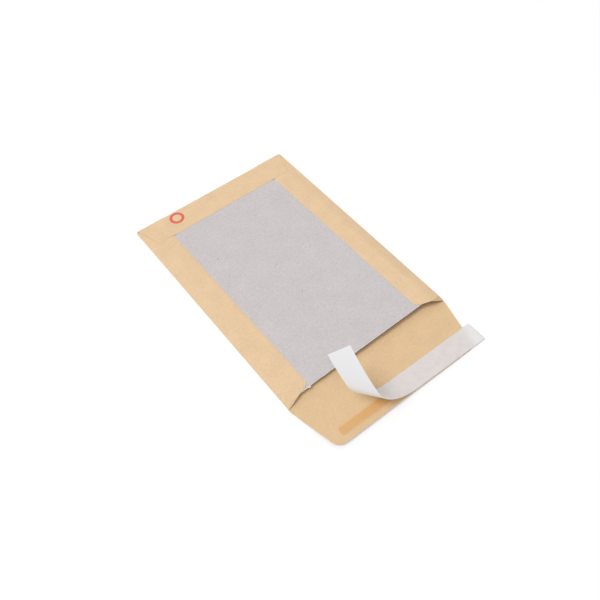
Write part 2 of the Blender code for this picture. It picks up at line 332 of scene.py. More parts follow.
def fibres(finish, at, width, length, turns, low, high):
    """Thin lighter or darker threads in several directions, from 0 to 1."""
    total = None
    for number, turn in enumerate(turns):
        shift = (0.37 * number, 0.61 * number, 0.0)
        along = finish.turned(at, turn, (1.0, width / length, 1.0), shift)
        threads = finish.step(finish.noise(along, size=width, detail=1.0), low, high)
        total = threads if total is None else threads.maths("MAXIMUM", total, threads)
    return total


def specks(finish, at, spacing, size, share):
    """Sparse round specks: 1 inside a speck, with soft edges."""
    values = {"Vector": at, "Scale": 1 / spacing}
    settings = {"feature": "F1", "voronoi_dimensions": "2D"}
    cells = finish.node("ShaderNodeTexVoronoi", settings, values)
    colour = finish.node("ShaderNodeTexVoronoi", settings, values, output=1)
    radius = finish.part(colour, 1) * (size / spacing)
    chosen = finish.step(finish.part(colour, 0), 1 - share, 1 - share + 0.001)
    inside = finish.step(radius - cells, 0.0, 0.25 * size / spacing)
    return chosen * inside


def kraft(name, colour, cloud, thread):
    """Kraft paper of the given colour, with clouds and threads of the given strength."""
    finish = Finish(name, 0.78, 0.35)
    at = finish.place("flat")
    clouds = finish.noise(at, size=0.014) - 0.5
    clumps = finish.noise(at, size=0.0022, detail=3.0, roughness=0.6) - 0.5
    pale = fibres(finish, at, width=0.00022, length=0.0028, turns=FIBRE_TURNS, low=0.55, high=0.72)
    elsewhere = finish.turned(at, shift=(2.0, 3.0, 0.0))
    dark = fibres(finish, elsewhere, width=0.00025, length=0.0024, turns=FIBRE_TURNS, low=0.58, high=0.76)
    factor = 1 + cloud * (clouds + clumps) + thread * (pale - dark)
    bark = specks(finish, at, spacing=0.0075, size=0.00035, share=0.08)
    shaded = finish.mix(bark * 0.6, finish.shade(colour, factor), BARK)
    relief = finish.bump(pale + clumps * 1.5, depth=0.00003)
    return finish, at, shaded, relief


def plain_kraft(*settings):
    finish, _, shaded, relief = kraft(*settings)
    return finish.wear(Base_Color=shaded, Normal=relief)


kraft_inside = plain_kraft("kraft_inside", paint(228, 195, 152), KRAFT_CLOUD, KRAFT_THREAD)
kraft_edge = plain_kraft("kraft_cut_edge", paint(238, 217, 188), 0.12, 0.10)
print("Kraft inside has", len(kraft_inside.node_tree.nodes), "nodes")

# %% [markdown]
# ## The printed ring
# A small red ring is printed on the bottom flap. It is part of the paper's colour, so it needs no mesh.
# Ink on rough paper isn't even: it thins where the fibres stand up.
#
# The side flaps also slope a little towards their folds, and most near the mouth. The outline hardly
# shows that, but the light does. So the mesh stays flat there, and relief in the finish tilts the light.

# %% Print the ring on the outside of the kraft
PRINT_CENTRE = (-0.0429, 0.1230)
PRINT_RADIUS = 0.0056
PRINT_LINE = 0.0027
INK = paint(232, 80, 75)
SAG_Y = 0.11
SAG_AT_MOUTH = 1.15
SAG_AT_BOTTOM = 0.5


def ring(finish, at, centre, radius, line):
    """1 on a ring of the given radius and line width, 0 away from it."""
    offset = finish.seen_from(at, centre)
    distance = finish.node("ShaderNodeVectorMath", {"operation": "LENGTH"}, {0: offset}, output=1)
    return 1 - finish.step(finish.unsigned(distance - radius), 0.45 * line, 0.55 * line)


def printed_kraft(sag_start, sag_end, sag_depth):
    """Kraft with the ring, and with sides that sag between two distances from the middle."""
    colour = paint(232, 201, 162)
    finish, at, shaded, relief = kraft("kraft_outside", colour, KRAFT_CLOUD, KRAFT_THREAD)
    thin = finish.step(finish.noise(at, size=0.0005), 0.35, 0.6, 0.72, 0.95)
    ink = ring(finish, at, PRINT_CENTRE, PRINT_RADIUS, PRINT_LINE) * thin
    from_middle = finish.unsigned(finish.part(at, 0))
    towards_mouth = finish.step(finish.part(at, 1), -SAG_Y, SAG_Y, SAG_AT_MOUTH, SAG_AT_BOTTOM)
    sag = finish.step(from_middle, sag_start, sag_end) * towards_mouth
    sagged = finish.bump(sag, depth=sag_depth, under=relief)
    return finish.wear(Base_Color=finish.mix(ink, shaded, INK), Normal=sagged)


print("Printed ring is", round(2000 * PRINT_RADIUS + 1000 * PRINT_LINE, 1), "mm across")

# %% [markdown]
# ## Grey board
# The board is pressed from waste paper. It is a soft grey with a hint of red, cloudy at the scale of a few
# millimetres, with short pale and dark fibres and a few dark flecks of print. It is quite matt. Its cut
# edge is paler and rough, because the knife tears the fibres out, and the top of the edge also gets a
# painted highlight. Beside the mouth the torn fibres show on the face as a pale line, which is partly a
# painted highlight too. The bottom of the edge is painted dark, as painted shade from the gap under the
# board. For that the board carries one more number, "height": 0 on its underside, 1 on its top face.

# %% Make the board finishes
PALE_TURNS = (0.2, 1.3, -0.9)
DARK_TURNS = (0.1, 1.0, -1.1)
TORN_HIGHLIGHT_WANDER = 0.0006
TORN_HIGHLIGHT_FULL = 0.0006
TORN_HIGHLIGHT_END = 0.0009
TORN_HIGHLIGHT_SHARE = 0.7
PAINTED_SHADE_FADE = (0.42, 0.56)


def grey_board_finish(name, colour, cloud, thread, mouth, slope):
    """Recycled board of the given colour, pale beside its mouth edge from torn fibres and a painted
    highlight.
    """
    finish = Finish(name, 0.95, 0.2)
    at = finish.place("flat")
    clouds = finish.noise(at, size=0.018) - 0.5
    clumps = finish.noise(at, size=0.0028, detail=3.0, roughness=0.65) - 0.5
    pale = fibres(finish, at, width=0.0003, length=0.0022, turns=PALE_TURNS, low=0.56, high=0.72)
    elsewhere = finish.turned(at, shift=(5.0, 1.0, 0.0))
    dark = fibres(finish, elsewhere, width=0.0003, length=0.0020, turns=DARK_TURNS, low=0.6, high=0.76)
    factor = 1 + cloud * (clouds * 0.6 + clumps) + thread * (pale - dark)
    small = specks(finish, at, spacing=0.0035, size=0.00035, share=0.06)
    elsewhere = finish.turned(at, shift=(0.31, 0.17, 0.0))
    large = specks(finish, elsewhere, spacing=0.018, size=0.0009, share=0.14)
    shaded = finish.shade(colour, factor)
    flecked = finish.mix(small * 0.45, shaded, paint(120, 112, 114))
    flecked = finish.mix(large * 0.8, flecked, paint(96, 90, 92))
    # Beside the mouth the face turns pale: torn fibres, and partly a painted highlight along the edge.
    wander = TORN_HIGHLIGHT_WANDER * (finish.noise(at, size=0.0008) - 0.5)
    ragged = finish.part(at, 1) - slope * finish.part(at, 0) + wander
    torn_highlight = finish.step(ragged, mouth + TORN_HIGHLIGHT_FULL, mouth + TORN_HIGHLIGHT_END, TORN_HIGHLIGHT_SHARE, 0.0)
    flecked = finish.mix(torn_highlight, flecked, paint(232, 229, 228))
    relief = finish.bump(pale + clumps * 2.0, depth=0.00005)
    return finish.wear(Base_Color=flecked, Normal=relief)


def cut_edge_finish():
    """The cut edge: torn pale fibres with a painted highlight at the top, and painted shade at the bottom.
    """
    finish = Finish("board_cut_edge", 0.95, 0.2)
    at = finish.place("flat")
    height = finish.node("ShaderNodeAttribute", {"attribute_name": "height"}, output=2)
    ragged = height + 0.5 * (finish.noise(at, size=0.0007) - 0.5)
    # The top of the cut edge is pale from torn fibres, and lighter still as a painted highlight.
    torn_highlight = finish.shade(paint(236, 232, 232), 1 + 0.3 * (finish.noise(at, size=0.0004) - 0.5))
    # The dark bottom of the edge, paint(70, 60, 56), is painted shade from the gap under the board.
    above_painted_shade = finish.step(ragged, *PAINTED_SHADE_FADE)
    return finish.wear(Base_Color=finish.mix(above_painted_shade, paint(70, 60, 56), torn_highlight))


board_edge = cut_edge_finish()
print("Cut edge finish has", len(board_edge.node_tree.nodes), "nodes")

# %% [markdown]
# ## Release liner
# The liner is thin white paper with a silicone coat, so it is smoother than the kraft and has a soft
# sheen. Where it lies on the flap the kraft and the adhesive show through it: it is greyer and a little
# pink there, in soft blotches. The same greyer tone runs on a little way up the curl, as painted shade
# near the bend. Past the slanting end of the flap it is whiter again, and so it is higher up the curl.
# Its back, which the curl turns to us, is white all over. The top and the back are two finishes, made by
# one function. Along its front and its right end the top has a thin grey rim of painted shade.

# %% Make the liner finish
LINER_TURNS = (1.45, 0.5)
PEEL_SHADE_FADE = (-0.030, -0.016)
END_FADE = (-0.005, 0.005)
SHOWN_PAST_END = 0.4
RIM = (0.0002, 0.0007)
RIM_PAINTED_SHADE = 0.22


def slanted(finish, at, point, skew):
    """Distance past a line through a point, where skew is the angle between the line and Y."""
    normal = (math.cos(skew), math.sin(skew), 0.0)
    values = {0: finish.seen_from(at, point), 1: normal}
    return finish.node("ShaderNodeVectorMath", {"operation": "DOT_PRODUCT"}, values, output=1)


def liner_finish(name, peel_line=None, flap_end=None, corner=None):
    """Silicone paper. Between two lines, each a point and a skew, it shows the flap, and up the curl
    painted shade.
    """
    finish = Finish(name, 0.5, 0.4)
    at = finish.place("flat")
    blotches = finish.noise(at, size=0.006, detail=3.0, roughness=0.6) - 0.5
    grain = finish.noise(at, size=0.0012) - 0.5
    threads = fibres(finish, at, width=0.0002, length=0.0016, turns=LINER_TURNS, low=0.56, high=0.74)
    relief = finish.bump(grain + threads * 0.5, depth=0.00001)
    white = finish.shade(paint(242, 241, 242), 1 + 0.02 * blotches + 0.03 * grain + 0.01 * threads)
    if peel_line is None:
        return finish.wear(Base_Color=white, Normal=relief)
    # The greyer tone is the flap showing through where the liner lies on it, and painted shade up the curl.
    show_through_and_shade = finish.step(slanted(finish, at, *peel_line), *PEEL_SHADE_FADE)
    show_through_and_shade = show_through_and_shade * finish.step(slanted(finish, at, *flap_end), *END_FADE, 1.0, SHOWN_PAST_END)
    through_and_shade_tone = finish.mix(finish.step(blotches, -0.2, 0.25), paint(221, 214, 212), paint(228, 221, 217))
    through_and_shade_tone = finish.shade(through_and_shade_tone, 1 + 0.04 * grain - 0.015 * threads)
    # A thin painted shade along the front and the right end of the top.
    from_corner = finish.seen_from(at, corner)
    from_front = finish.part(from_corner, 1)
    from_border = from_front.maths("MINIMUM", from_front, 0 - finish.part(from_corner, 0))
    grey = finish.step(from_border, *RIM, RIM_PAINTED_SHADE, 0.0)
    paper = finish.shade(finish.mix(show_through_and_shade, white, through_and_shade_tone), 1 - grey)
    return finish.wear(Base_Color=paper, Normal=relief)


print("The liner turns white over", round(1000 * (PEEL_SHADE_FADE[1] - PEEL_SHADE_FADE[0])), "mm of its curl")

# %% [markdown]
# ## Adhesive
# Pressure adhesive is a thin, clear amber film that soaks a little into the paper. It is thinner at its
# rim and has streaks from the roller that laid it. The film is glossier than the paper.

# %% Make the adhesive finish
FILM_WANDER = 0.0012
FILM_RIM = 0.0012
FILM_END = 0.0014


def adhesive_finish(half_length, half_width):
    """Amber film over kraft, paler towards its rim."""
    finish = Finish("adhesive_film", 0.36, 0.5)
    at = finish.place("flat")
    wander = (finish.noise(at, size=0.004) - 0.5) * FILM_WANDER
    off_centre = finish.unsigned(finish.part(at, 1)) + wander
    off_middle = finish.unsigned(finish.part(at, 0)) + wander
    body = finish.step(off_centre, half_width - FILM_RIM, half_width, 1.0, 0.0)
    body = body * finish.step(off_middle, half_length - FILM_END, half_length, 1.0, 0.0)
    streaks = finish.noise(finish.turned(at, stretch=(0.08, 1.0, 1.0)), size=0.0016) - 0.5
    blots = finish.noise(at, size=0.007) - 0.5
    amber = finish.shade(paint(223, 175, 114), 1 + 0.05 * streaks + 0.07 * blots)
    shaded = finish.mix(body * 0.9 + 0.1, paint(226, 191, 145), amber)
    relief = finish.bump(streaks + body, depth=0.00002)
    return finish.wear(Base_Color=shaded, Normal=relief, Roughness=0.55 - 0.22 * body)


print("The film thins out over", round(1000 * FILM_RIM, 1), "mm at its rim")

# %% [markdown]
# ## Working with flat sheets
# Paper, board and liner all start flat. So does each piece here: one face with the piece's outline, made
# from its corners. A bevel on corner points rounds them. Cuts with `bisect_plane` then score the sheet in
# a fine grid, and along its folds. The flat place of every point is kept in the "flat" map. Only then the
# points move to their folded place, and at last the sheet gets its thickness.
#
# Solidify gives both faces and the cut edge their own material. The modifier is applied, because the hard
# corner between a face and the cut edge has to be marked after it, or the light would smear over it.


# %% Tools for sheets
SHARP_CORNER = math.radians(40)


def blank(corners):
    """A flat face through the corners (x, y, radius), with the corners rounded."""
    bm = bmesh.new()
    verts = [bm.verts.new((x, y, 0)) for x, y, _ in corners]
    face = bm.faces.new(verts)
    face.normal_update()
    if face.normal.z < 0:
        face.normal_flip()
    count = len(corners)
    places = [vert.co.copy() for vert in verts]
    for number, (vert, (_, _, radius)) in enumerate(zip(verts, corners)):
        if radius == 0:
            continue
        before = places[number - 1] - places[number]
        after = places[(number + 1) % count] - places[number]
        reach = radius / math.tan(before.angle(after) / 2)
        settings = {"offset_type": "OFFSET", "affect": "VERTICES", "segments": 10, "profile": 0.5}
        bmesh.ops.bevel(bm, geom=[vert], offset=reach, material=-1, **settings)
    return bm


def score(bm, point, direction, where=None):
    """Cut the flat sheet along a line, only in the faces that the test lets through."""
    faces = [face for face in bm.faces if where is None or where(face.calc_center_median())]
    edges = {edge for face in faces for edge in face.edges}
    verts = {vert for face in faces for vert in face.verts}
    normal = (-direction[1], direction[0], 0)
    geometry = faces + list(edges) + list(verts)
    bmesh.ops.bisect_plane(bm, geom=geometry, plane_co=(*point, 0), plane_no=normal, dist=2e-6)


def score_grid(bm, cell):
    """Cut the flat sheet in square cells."""
    for axis, direction in ((0, (0, 1)), (1, (1, 0))):
        low = min(vert.co[axis] for vert in bm.verts)
        high = max(vert.co[axis] for vert in bm.verts)
        count = math.ceil((high - low) / cell)
        for step in range(1, count):
            point = [0, 0]
            point[axis] = low + (high - low) * step / count
            score(bm, point, direction)


def fold_sheet(name, bm, place, thickness, materials):
    """Move the flat sheet to its folded place, and give it its thickness and materials."""
    flat = bm.loops.layers.uv.new("flat")
    for face in bm.faces:
        for loop in face.loops:
            loop[flat].uv = loop.vert.co.xy
    for vert in bm.verts:
        vert.co = place(vert.co.x, vert.co.y)
    mesh = bpy.data.meshes.new(name)
    bm.to_mesh(mesh)
    bm.free()
    for material in materials:
        mesh.materials.append(material)
    piece = bpy.data.objects.new(name, mesh)
    bpy.context.scene.collection.objects.link(piece)
    solidify = piece.modifiers.new("thickness", "SOLIDIFY")
    solidify.thickness = thickness
    solidify.offset = 0
    solidify.use_even_offset = False
    solidify.material_offset = 1
    solidify.material_offset_rim = 2
    return piece


def apply_modifiers(piece):
    """Keep the modified shape as the piece's mesh, with its hard corners marked."""
    graph = bpy.context.evaluated_depsgraph_get()
    solid = bpy.data.meshes.new_from_object(piece.evaluated_get(graph))
    piece.modifiers.clear()
    piece.data = solid
    solid.shade_smooth()
    solid.set_sharp_from_angle(angle=SHARP_CORNER)
    triangles = sum(len(polygon.vertices) - 2 for polygon in solid.polygons)
    print(piece.name, "has", triangles, "triangles")
    return piece


def stands_for(piece, node):
    """The new piece takes the place of a node of the packed model."""
    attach(piece, "root")
    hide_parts(node)
    for end, (new, old) in enumerate(zip(box_of(piece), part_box(node))):
        off = [round(1000 * distance, 2) for distance in new - old]
        print(" ", ("lowest", "highest")[end], "corner off by", off, "mm")


def box_of(piece):
    """Lowest and highest corner of a piece's own mesh."""
    places = [vert.co for vert in piece.data.vertices]
    low = Vector([min(place[axis] for place in places) for axis in range(3)])
    high = Vector([max(place[axis] for place in places) for axis in range(3)])
    return low, high


print("Corners over", round(math.degrees(SHARP_CORNER)), "degrees stay hard")

# %% [markdown]
# ## Sizes
# These are the sizes of the packed model, in metres. X runs across the envelope, Y from the mouth to the
# bottom fold and Z up, and the origin is on the table under the middle of the face panel. Only the closing
# flap is 0.6 mm longer here, because it springs up and would look shorter. What differs in the liner is
# told where the liner is made.

# %% Sizes of the envelope
BODY_WIDTH = 0.162
BODY_LENGTH = 0.229
PAPER = 0.00015
FOLD_RADIUS = 0.00085
SIDE_FLAP = 0.0247
SIDE_END_SLANT = 0.0082
SIDE_END_CORNER = 0.006
SIDE_BACK_SLANT = 0.004
BOTTOM_FLAP = 0.025
BOTTOM_TAPER = 0.0095
BOTTOM_CORNER = 0.0015
CLOSING_FLAP = 0.0472
CLOSING_TAPER_LEFT = 0.00995
CLOSING_TAPER_RIGHT = 0.01205
CLOSING_CORNER = 0.0085
CORNER_NOTCH = 0.0001
MOUTH_NOTCH = 0.0004
BOARD_THICKNESS = 0.00095
BOARD_SIDE_CLEARANCE = 0.0040
BOARD_BACK_CLEARANCE = 0.0015
BOARD_SETBACK = 0.0060
LIFT_LEFT = 0.0019
LIFT_RIGHT = 0.0050
MOUTH_CREASE_BULGE = 0.0010
MOUTH_SHOULDER = 0.0032
MOUTH_BEND_END = 0.0040
CORNER_RISE = 0.0003
DROOP_LENGTH = 0.0042
GAP = 0.0003
STEP_LENGTH = 0.005

HALF_WIDTH = BODY_WIDTH / 2
HALF_LENGTH = BODY_LENGTH / 2
SIDE_CREASE = HALF_WIDTH - FOLD_RADIUS
BOTTOM_CREASE = HALF_LENGTH - FOLD_RADIUS
BOARD_HALF = HALF_WIDTH - BOARD_SIDE_CLEARANCE
BOARD_BACK = HALF_LENGTH - BOARD_BACK_CLEARANCE
BOARD_MOUTH = BOARD_SETBACK - HALF_LENGTH
BOARD_LENGTH = BOARD_BACK - BOARD_MOUTH
BOARD_UNDERSIDE = PAPER + GAP
BOARD_TOP = BOARD_UNDERSIDE + BOARD_THICKNESS
SHEET_LEVEL = PAPER / 2
SIDE_FLAP_LEVEL = BOARD_TOP + GAP + PAPER / 2
SIDE_FLAP_EDGE = HALF_WIDTH - SIDE_FLAP
FLAP_FRONT = -HALF_LENGTH - CLOSING_FLAP
DROOP_START = DROOP_LENGTH - HALF_LENGTH
print("Body", 1000 * BODY_WIDTH, "by", 1000 * BODY_LENGTH, "mm, flap", 1000 * CLOSING_FLAP, "mm")

# %% [markdown]
# ## The cover
# One die-cut sheet makes the face panel, the two side flaps, the bottom flap and the closing flap. It
# could be five panels side by side, but then every fold would be a seam. Here one function takes a point
# of the flat sheet to its place on the folded cover, so that the paper runs on through each fold: a tight
# half round at the bottom fold, and an open wall where the board lifts off at the mouth.
#
# Paper that has been folded and gummed is never quite flat. So the board stands off more towards the
# mouth, the closing flap springs up a little towards its front edge, and the free edges of the gummed
# flaps press down on the board. These come first.

# %% Measure how far the sheets stand off
FLAP_SPRING = 0.0013
SPRING_BEND = 0.8
SPRING_LEFT = 2.4
SPRING_RIGHT = 0.35
PRESSED_WIDTH = 0.0022
PRESSED_DEPTH = GAP - 0.00003


def ease(share):
    """Smooth step from 0 to 1."""
    share = min(max(share, 0.0), 1.0)
    return share * share * (3 - 2 * share)


def between(start, end, share):
    """Value between start and end, without overshoot."""
    return start + (end - start) * min(max(share, 0.0), 1.0)


def bezier(points, share):
    """Point on the cubic curve through four two-dimensional control points."""
    rest = 1 - share
    weights = (rest ** 3, 3 * rest ** 2 * share, 3 * rest * share ** 2, share ** 3)
    return [sum(weight * point[axis] for weight, point in zip(weights, points)) for axis in (0, 1)]


def mouth_share(y):
    """0 at the board's back edge, 1 at its mouth edge."""
    return max((BOARD_BACK - y) / BOARD_LENGTH, 0.0)


def board_lift(x, y):
    """How far the board stands off the face panel: more towards the mouth, and more on the right."""
    middle = (LIFT_LEFT + LIFT_RIGHT) / 2
    lean = (LIFT_RIGHT - LIFT_LEFT) / 2 * x / BOARD_HALF
    return mouth_share(y) * (middle + lean)


def flap_spring(x, y):
    """How far the open closing flap springs up in front of its crease."""
    share = (-HALF_LENGTH - y) / CLOSING_FLAP
    along = between(SPRING_LEFT, SPRING_RIGHT, (x + HALF_WIDTH) / BODY_WIDTH)
    return FLAP_SPRING * ease(share * SPRING_BEND) * along


def pressed(from_edge):
    """How far the free edge of a gummed flap is pressed down on what lies under it."""
    return PRESSED_DEPTH * ease(1 - from_edge / PRESSED_WIDTH)


for side in (-1, 1):
    lift = board_lift(side * BOARD_HALF, BOARD_MOUTH)
    spring = flap_spring(side * HALF_WIDTH, FLAP_FRONT)
    name = "left" if side < 0 else "right"
    print("On the", name, "the board lifts", round(1000 * lift, 1), "mm, the flap", round(1000 * spring, 1))

# %% [markdown]
# ## The folds
# Each fold is one cubic curve from the crease to the flap. The side folds open from a tight half round at
# the back to a leaning wall at the mouth, and beside the mouth they have faint buckles. In front of the
# board the side flap droops to the crease corner. The slanting ends of the bottom flap are a little loose.

# %% Fold one point
BUCKLE_DEPTH = 0.00006
BUCKLE_PITCH = 0.0042
BUCKLES_START = 0.72
BUCKLES_FULL = 0.97
BUCKLE_LEAN = 0.6
LOOSE_END = 0.0011


def side_flap_level(x, y):
    """Height of a side flap: on the board, and down to the crease corner in front of it."""
    level = SIDE_FLAP_LEVEL + board_lift(x, y) - pressed(abs(x) - SIDE_FLAP_EDGE)
    return between(level, SHEET_LEVEL + CORNER_RISE, (DROOP_START - y) / DROOP_LENGTH)


def side_bend_end(y):
    """How far from the centre line a side fold has turned flat on to the board."""
    return HALF_WIDTH - between(FOLD_RADIUS, MOUTH_BEND_END, mouth_share(y))


def side_fold(share, side, y):
    """Point of a side fold, with the buckles that the lifted board leaves in it near the mouth."""
    opening = mouth_share(y)
    end = side_bend_end(y)
    top = side_flap_level(side * end, y)
    crease = HALF_WIDTH + between(FOLD_RADIUS / 3, MOUTH_CREASE_BULGE, opening)
    shoulder = HALF_WIDTH - between(-FOLD_RADIUS / 3, MOUTH_SHOULDER, opening)
    shoulder += between(0.0, MOUTH_SHOULDER, (DROOP_START - y) / DROOP_LENGTH)
    curve = ((SIDE_CREASE, SHEET_LEVEL), (crease, SHEET_LEVEL), (shoulder, top), (end, top))
    x, z = bezier(curve, share)
    near_mouth = ease((opening - BUCKLES_START) / (BUCKLES_FULL - BUCKLES_START))
    buckle = BUCKLE_DEPTH * near_mouth * math.sin(math.pi * share) ** 2
    x -= buckle * (1 + math.sin(2 * math.pi * (y / BUCKLE_PITCH + BUCKLE_LEAN * share)))
    return Vector((side * x, y, z))


def bottom_flap_level(x, y):
    """Height of the bottom flap: on the board, and one step up on the side flaps."""
    step_end = SIDE_FLAP_EDGE - GAP
    step = (PAPER + GAP) * ease((abs(x) - step_end + STEP_LENGTH) / STEP_LENGTH)
    from_edge = y - HALF_LENGTH + BOTTOM_FLAP
    from_end = HALF_WIDTH + LOOSE_END - BOTTOM_TAPER * (HALF_LENGTH - y) / BOTTOM_FLAP - abs(x)
    return SIDE_FLAP_LEVEL + step + board_lift(x, y) - pressed(min(from_edge, from_end))


def bottom_fold(share, x):
    """Point of the bottom fold, a half round from the face panel up to the bottom flap."""
    top = bottom_flap_level(x, HALF_LENGTH)
    bulge = HALF_LENGTH + FOLD_RADIUS / 3
    curve = ((BOTTOM_CREASE, SHEET_LEVEL), (bulge, SHEET_LEVEL), (bulge, top), (BOTTOM_CREASE, top))
    y, z = bezier(curve, share)
    return Vector((x, y, z))


def fold_cover(u, v):
    """Take a point of the flat sheet to its place on the folded cover."""
    side = math.copysign(1.0, u)
    if v > BOTTOM_CREASE:
        share = (v - BOTTOM_CREASE) / (2 * FOLD_RADIUS)
        if share < 1:
            return bottom_fold(share, u)
        y = BODY_LENGTH - v
        return Vector((u, y, bottom_flap_level(u, y)))
    if abs(u) > SIDE_CREASE and v > -HALF_LENGTH:
        share = (abs(u) - SIDE_CREASE) / (BODY_WIDTH - side_bend_end(v) - SIDE_CREASE)
        if share < 1:
            return side_fold(share, side, v)
        x = side * (BODY_WIDTH - abs(u))
        return Vector((x, v, side_flap_level(x, v)))
    return Vector((u, v, SHEET_LEVEL + flap_spring(u, v)))


for name, y in (("back", BOTTOM_CREASE), ("mouth", BOARD_MOUTH)):
    levels = [round(1000 * side_flap_level(side * BOARD_HALF, y), 1) for side in (-1, 1)]
    print("At the", name, "the side flaps lie", levels, "mm up")

# %% [markdown]
# ## The blank
# The flat sheet has straight sides, slanting flap ends and a few round corners. Its score lines lie close
# together where it bends, and wide apart where it stays flat.

# %% Cut, score and fold the cover
SAG_WIDTH = 0.013
SAG_DEPTH = 0.0022
COVER_CELL = 0.0026
FOLD_STEPS = 14
DROOP_STEPS = 3
PRESSED_STEPS = 4


def cover_blank():
    """The flat sheet: face panel, two side flaps, bottom flap and closing flap."""
    crease_x = SIDE_CREASE - CORNER_NOTCH
    crease_y = BOTTOM_CREASE - CORNER_NOTCH
    flap_x = BODY_WIDTH - SIDE_FLAP_EDGE
    bottom_x = HALF_WIDTH - BOTTOM_TAPER
    bottom_y = HALF_LENGTH + BOTTOM_FLAP
    closing_y = -HALF_LENGTH - MOUTH_NOTCH
    right_half = [
        (crease_x, -HALF_LENGTH, 0), (flap_x, SIDE_END_SLANT - HALF_LENGTH, SIDE_END_CORNER),
        (flap_x, crease_y - SIDE_BACK_SLANT, 0), (crease_x, crease_y, 0),
        (bottom_x, bottom_y, BOTTOM_CORNER),
    ]
    left_half = [(-x, y, radius) for x, y, radius in reversed(right_half)]
    closing = [
        (-HALF_WIDTH, closing_y, 0), (CLOSING_TAPER_LEFT - HALF_WIDTH, FLAP_FRONT, CLOSING_CORNER),
        (HALF_WIDTH - CLOSING_TAPER_RIGHT, FLAP_FRONT, CLOSING_CORNER), (HALF_WIDTH, closing_y, 0),
    ]
    return blank(right_half + left_half + closing)


def score_side_fold(bm, side):
    """Score lines along a side fold, which widens towards the mouth."""
    for step in range(FOLD_STEPS + 1):
        share = step / FOLD_STEPS
        back = between(SIDE_CREASE, BODY_WIDTH - side_bend_end(BOARD_BACK), share)
        front = between(SIDE_CREASE, BODY_WIDTH - side_bend_end(BOARD_MOUTH), share)
        direction = (side * (front - back), BOARD_MOUTH - BOARD_BACK)
        score(bm, (side * back, BOARD_BACK), direction, lambda c: c.y < BOTTOM_CREASE)


def score_cover(bm):
    """Score the cover along all its folds and in a fine grid."""
    score(bm, (0, -HALF_LENGTH), (1, 0))
    score(bm, (0, BOTTOM_CREASE), (1, 0))
    for side in (-1, 1):
        score_side_fold(bm, side)
        score(bm, (side * (SIDE_FLAP_EDGE - GAP), 0), (0, 1), lambda c: c.y > BOTTOM_CREASE)
    score_grid(bm, COVER_CELL)
    for step in range(1, FOLD_STEPS + 1):
        y = BOTTOM_CREASE + 2 * FOLD_RADIUS * step / FOLD_STEPS
        score(bm, (0, y), (1, 0), lambda c: c.y > BOTTOM_CREASE)
    for step in range(DROOP_STEPS):
        y = DROOP_START - DROOP_LENGTH * step / DROOP_STEPS
        score(bm, (0, y), (1, 0), lambda c: abs(c.x) > SIDE_CREASE)
    for step in range(1, PRESSED_STEPS + 1):
        x = BODY_WIDTH - SIDE_FLAP_EDGE - PRESSED_WIDTH * step / PRESSED_STEPS
        y = HALF_LENGTH + BOTTOM_FLAP - PRESSED_WIDTH * step / PRESSED_STEPS
        score(bm, (0, y), (1, 0), lambda c: c.y > HALF_LENGTH)
        for side in (-1, 1):
            score(bm, (side * x, 0), (0, 1), lambda c: c.y < BOTTOM_CREASE)


kraft_outside = printed_kraft(SIDE_CREASE, SIDE_CREASE + SAG_WIDTH, SAG_DEPTH)
cover_sheet = cover_blank()
score_cover(cover_sheet)
cover = fold_sheet("cover", cover_sheet, fold_cover, PAPER, [kraft_inside, kraft_outside, kraft_edge])
apply_modifiers(cover)
stands_for(cover, "envelope_sheet")

# %% [markdown]
# ## The back board
# The board is die-cut with fine teeth along the mouth, a little askew. No two teeth are quite alike, so
# each gets its own depth. Near the left corner the board tore instead, and a tuft of it stands out. The
# teeth are made by dividing the mouth edge of the flat board and moving its points.

# %% Cut and lay the board
TOOTH_PITCH = 0.0016
TOOTH_DEPTH = 0.0004
TOOTH_SPREAD = 0.00022
MOUTH_CUT_SLOPE = 0.01
TUFT_AT = -0.0568
TUFT_WIDTH = 0.0024
TUFT_REACH = 0.0011
CUT_STEP = 0.0004
BOARD_CELL = 0.005
BOARD_ROUNDING = 0.00012


def cut_teeth(bm, chance):
    """Divide the mouth edge of the board and move its points to the teeth and the torn tuft."""
    at_mouth = BOARD_MOUTH + 1e-6
    mouth = [edge for edge in bm.edges if all(vert.co.y < at_mouth for vert in edge.verts)]
    teeth = round(2 * BOARD_HALF / TOOTH_PITCH)
    bmesh.ops.subdivide_edges(bm, edges=mouth, cuts=2 * teeth - 1)
    points = sorted((vert for vert in bm.verts if vert.co.y < at_mouth), key=lambda vert: vert.co.x)
    for number, vert in enumerate(points):
        if abs(vert.co.x - TUFT_AT) < TUFT_WIDTH / 2:
            vert.co.y -= TUFT_REACH
        elif vert.co.x < TUFT_AT:
            vert.co.y -= CUT_STEP
        vert.co.y += MOUTH_CUT_SLOPE * vert.co.x + TOOTH_DEPTH * (number % 2)
        vert.co.y += chance.uniform(0, TOOTH_SPREAD)


def place_board(x, y):
    middle = (BOARD_UNDERSIDE + BOARD_TOP) / 2
    return Vector((x, y, middle + board_lift(x, y)))


def mark_height(piece):
    """Give every point of the board its height in the board, from 0 to 1."""
    heights = piece.data.attributes.new("height", "FLOAT", "POINT")
    for vert, height in zip(piece.data.vertices, heights.data):
        over_underside = vert.co.z - BOARD_UNDERSIDE - board_lift(vert.co.x, vert.co.y)
        height.value = over_underside / BOARD_THICKNESS


